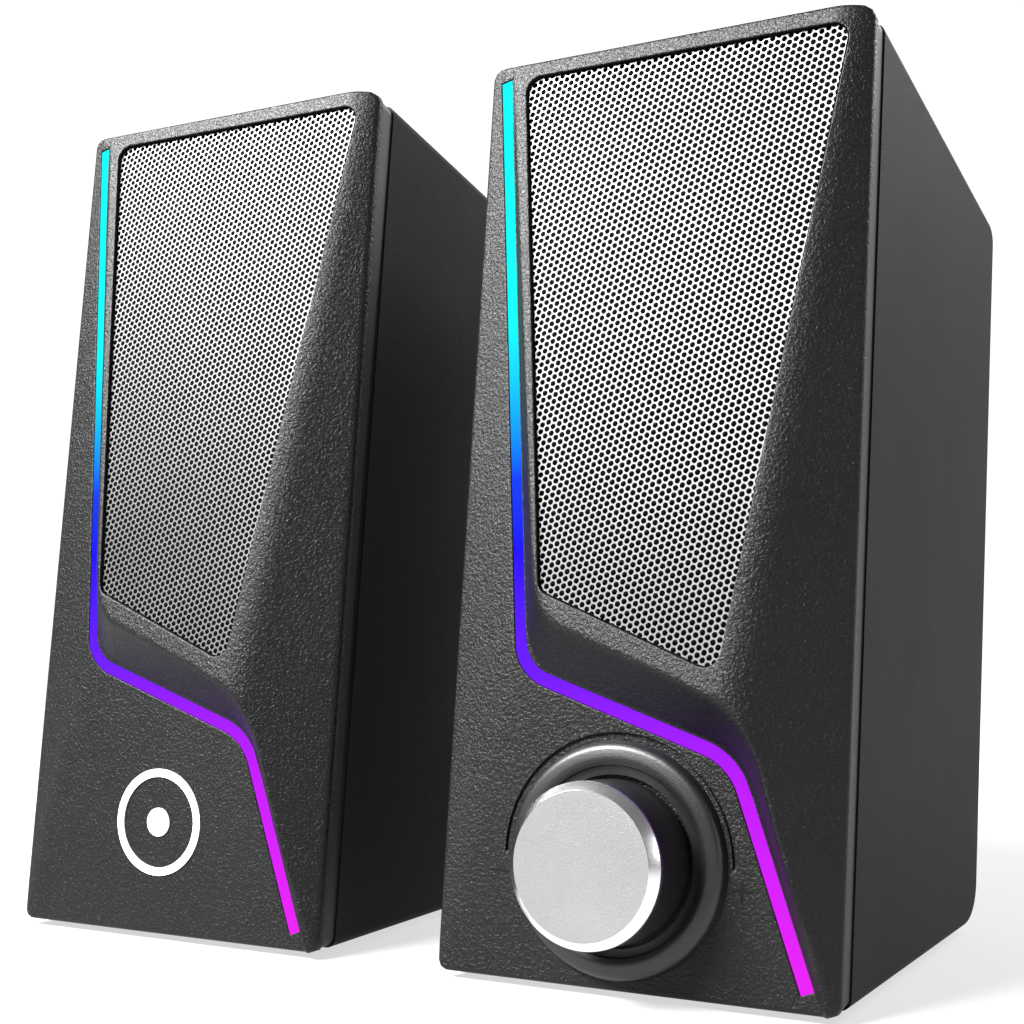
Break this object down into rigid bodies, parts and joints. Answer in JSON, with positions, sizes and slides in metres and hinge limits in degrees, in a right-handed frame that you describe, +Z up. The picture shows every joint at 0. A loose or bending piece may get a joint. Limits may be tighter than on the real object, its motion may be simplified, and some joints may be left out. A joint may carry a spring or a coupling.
{
  "type": "desktop speakers",
  "caption": "Pair of upright desktop speakers with faceted leaning fronts, perforated metal grilles, bent light strips and a volume knob on one of them.",
  "frame": {"origin": "bottom centre of the pair's box, on the surface that the feet rest on", "axes": "+X to the viewer's right, +Y from the fronts to the backs, +Z up"},
  "size_m": [0.2004, 0.1354, 0.1922],
  "materials": {
    "basket": "black powder coat",
    "bezel": "fine leather grain, satin black",
    "cabinet": "fine spark texture, black",
    "capacitor": "heat-shrunk sleeve",
    "chip": "moulded epoxy",
    "circuit_board": "green solder mask",
    "cloth": "thin black acoustic cloth",
    "cone": "pressed black pulp",
    "copper": "enamelled copper winding",
    "emblem": "white print",
    "ferrite": "dark ground ferrite",
    "foot": "matte rubber",
    "gland": "matte rubber",
    "grille": "perforated sheet, satin nickel",
    "heat_sink": "extruded",
    "jack": "moulded black",
    "knob_body": "fine matte black",
    "knob_cap": "bead-blasted face with a bright chamfer",
    "lamp": "white chip with a clear window",
    "light": "frosted diffuser, lit from behind",
    "plated_steel": "zinc plated",
    "rubber_roll": "soft butyl",
    "screw": "black zinc",
    "spider": "impregnated cloth",
    "trim": "smooth black"
  },
  "bodies": {
    "main_speaker": {"main_amplifier_board": "circuit_board", "main_amplifier_capacitors": "capacitor", "main_amplifier_chip": "chip", "main_amplifier_heat_sink": "heat_sink", "main_amplifier_standoffs": "plated_steel", "main_baffle": "trim", "main_bezel_screws": "screw", "main_cabinet": "cabinet", "main_cabinet_screws": "screw", "main_cable_glands": "gland", "main_driver_basket": "basket", "main_driver_magnet": "ferrite", "main_driver_screws": "screw", "main_driver_spider": "spider", "main_driver_surround": "rubber_roll", "main_driver_top_plate": "plated_steel", "main_driver_yoke": "plated_steel", "main_feet": "foot", "main_front_bezel": "bezel", "main_grille": "grille", "main_grille_cloth": "cloth", "main_grille_retainer": "trim", "main_lamp_board": "circuit_board", "main_lamps": "lamp", "main_light_strip": "light", "main_link_jack": "jack", "main_volume_control": "plated_steel", "main_volume_control_board": "circuit_board", "main_volume_control_nut": "plated_steel"},
    "satellite_speaker": {"satellite_baffle": "trim", "satellite_bezel_screws": "screw", "satellite_cabinet": "cabinet", "satellite_cabinet_screws": "screw", "satellite_cable_gland": "gland", "satellite_driver_basket": "basket", "satellite_driver_magnet": "ferrite", "satellite_driver_screws": "screw", "satellite_driver_spider": "spider", "satellite_driver_surround": "rubber_roll", "satellite_driver_top_plate": "plated_steel", "satellite_driver_yoke": "plated_steel", "satellite_emblem": "emblem", "satellite_feet": "foot", "satellite_front_bezel": "bezel", "satellite_grille": "grille", "satellite_grille_cloth": "cloth", "satellite_grille_retainer": "trim", "satellite_lamp_board": "circuit_board", "satellite_lamps": "lamp", "satellite_light_strip": "light"},
    "volume_knob": {"main_volume_knob_body": "knob_body", "main_volume_knob_cap": "knob_cap", "main_volume_shaft": "plated_steel"},
    "main_cone": {"main_driver_cone": "cone", "main_driver_voice_coil": "copper", "main_driver_dust_cap": "cone"},
    "satellite_cone": {"satellite_driver_cone": "cone", "satellite_driver_voice_coil": "copper", "satellite_driver_dust_cap": "cone"}
  },
  "joints": [
    {"name": "volume_turn", "type": "hinge", "parent": "main_speaker", "child": "volume_knob", "pos_m": [0.0549, -0.05081, 0.02646], "axis": [0, -0.9968, 0.0796], "range_deg": [-150, 150]},
    {"name": "main_cone_travel", "type": "slide", "parent": "main_speaker", "child": "main_cone", "axis": [0, -0.9903, 0.1392], "range_m": [-0.0015, 0.0015], "stiffness_N_per_m": 200, "deforming": ["main_driver_surround", "main_driver_spider"]},
    {"name": "satellite_cone_travel", "type": "slide", "parent": "satellite_speaker", "child": "satellite_cone", "axis": [0, -0.9903, 0.1392], "range_m": [-0.0015, 0.0015], "stiffness_N_per_m": 200, "deforming": ["satellite_driver_surround", "satellite_driver_spider"]},
    {"name": "satellite_spacing", "type": "slide", "parent": "main_speaker", "child": "satellite_speaker", "axis": [1, 0, 0], "range_m": [-0.15, 0.02]}
  ]
}
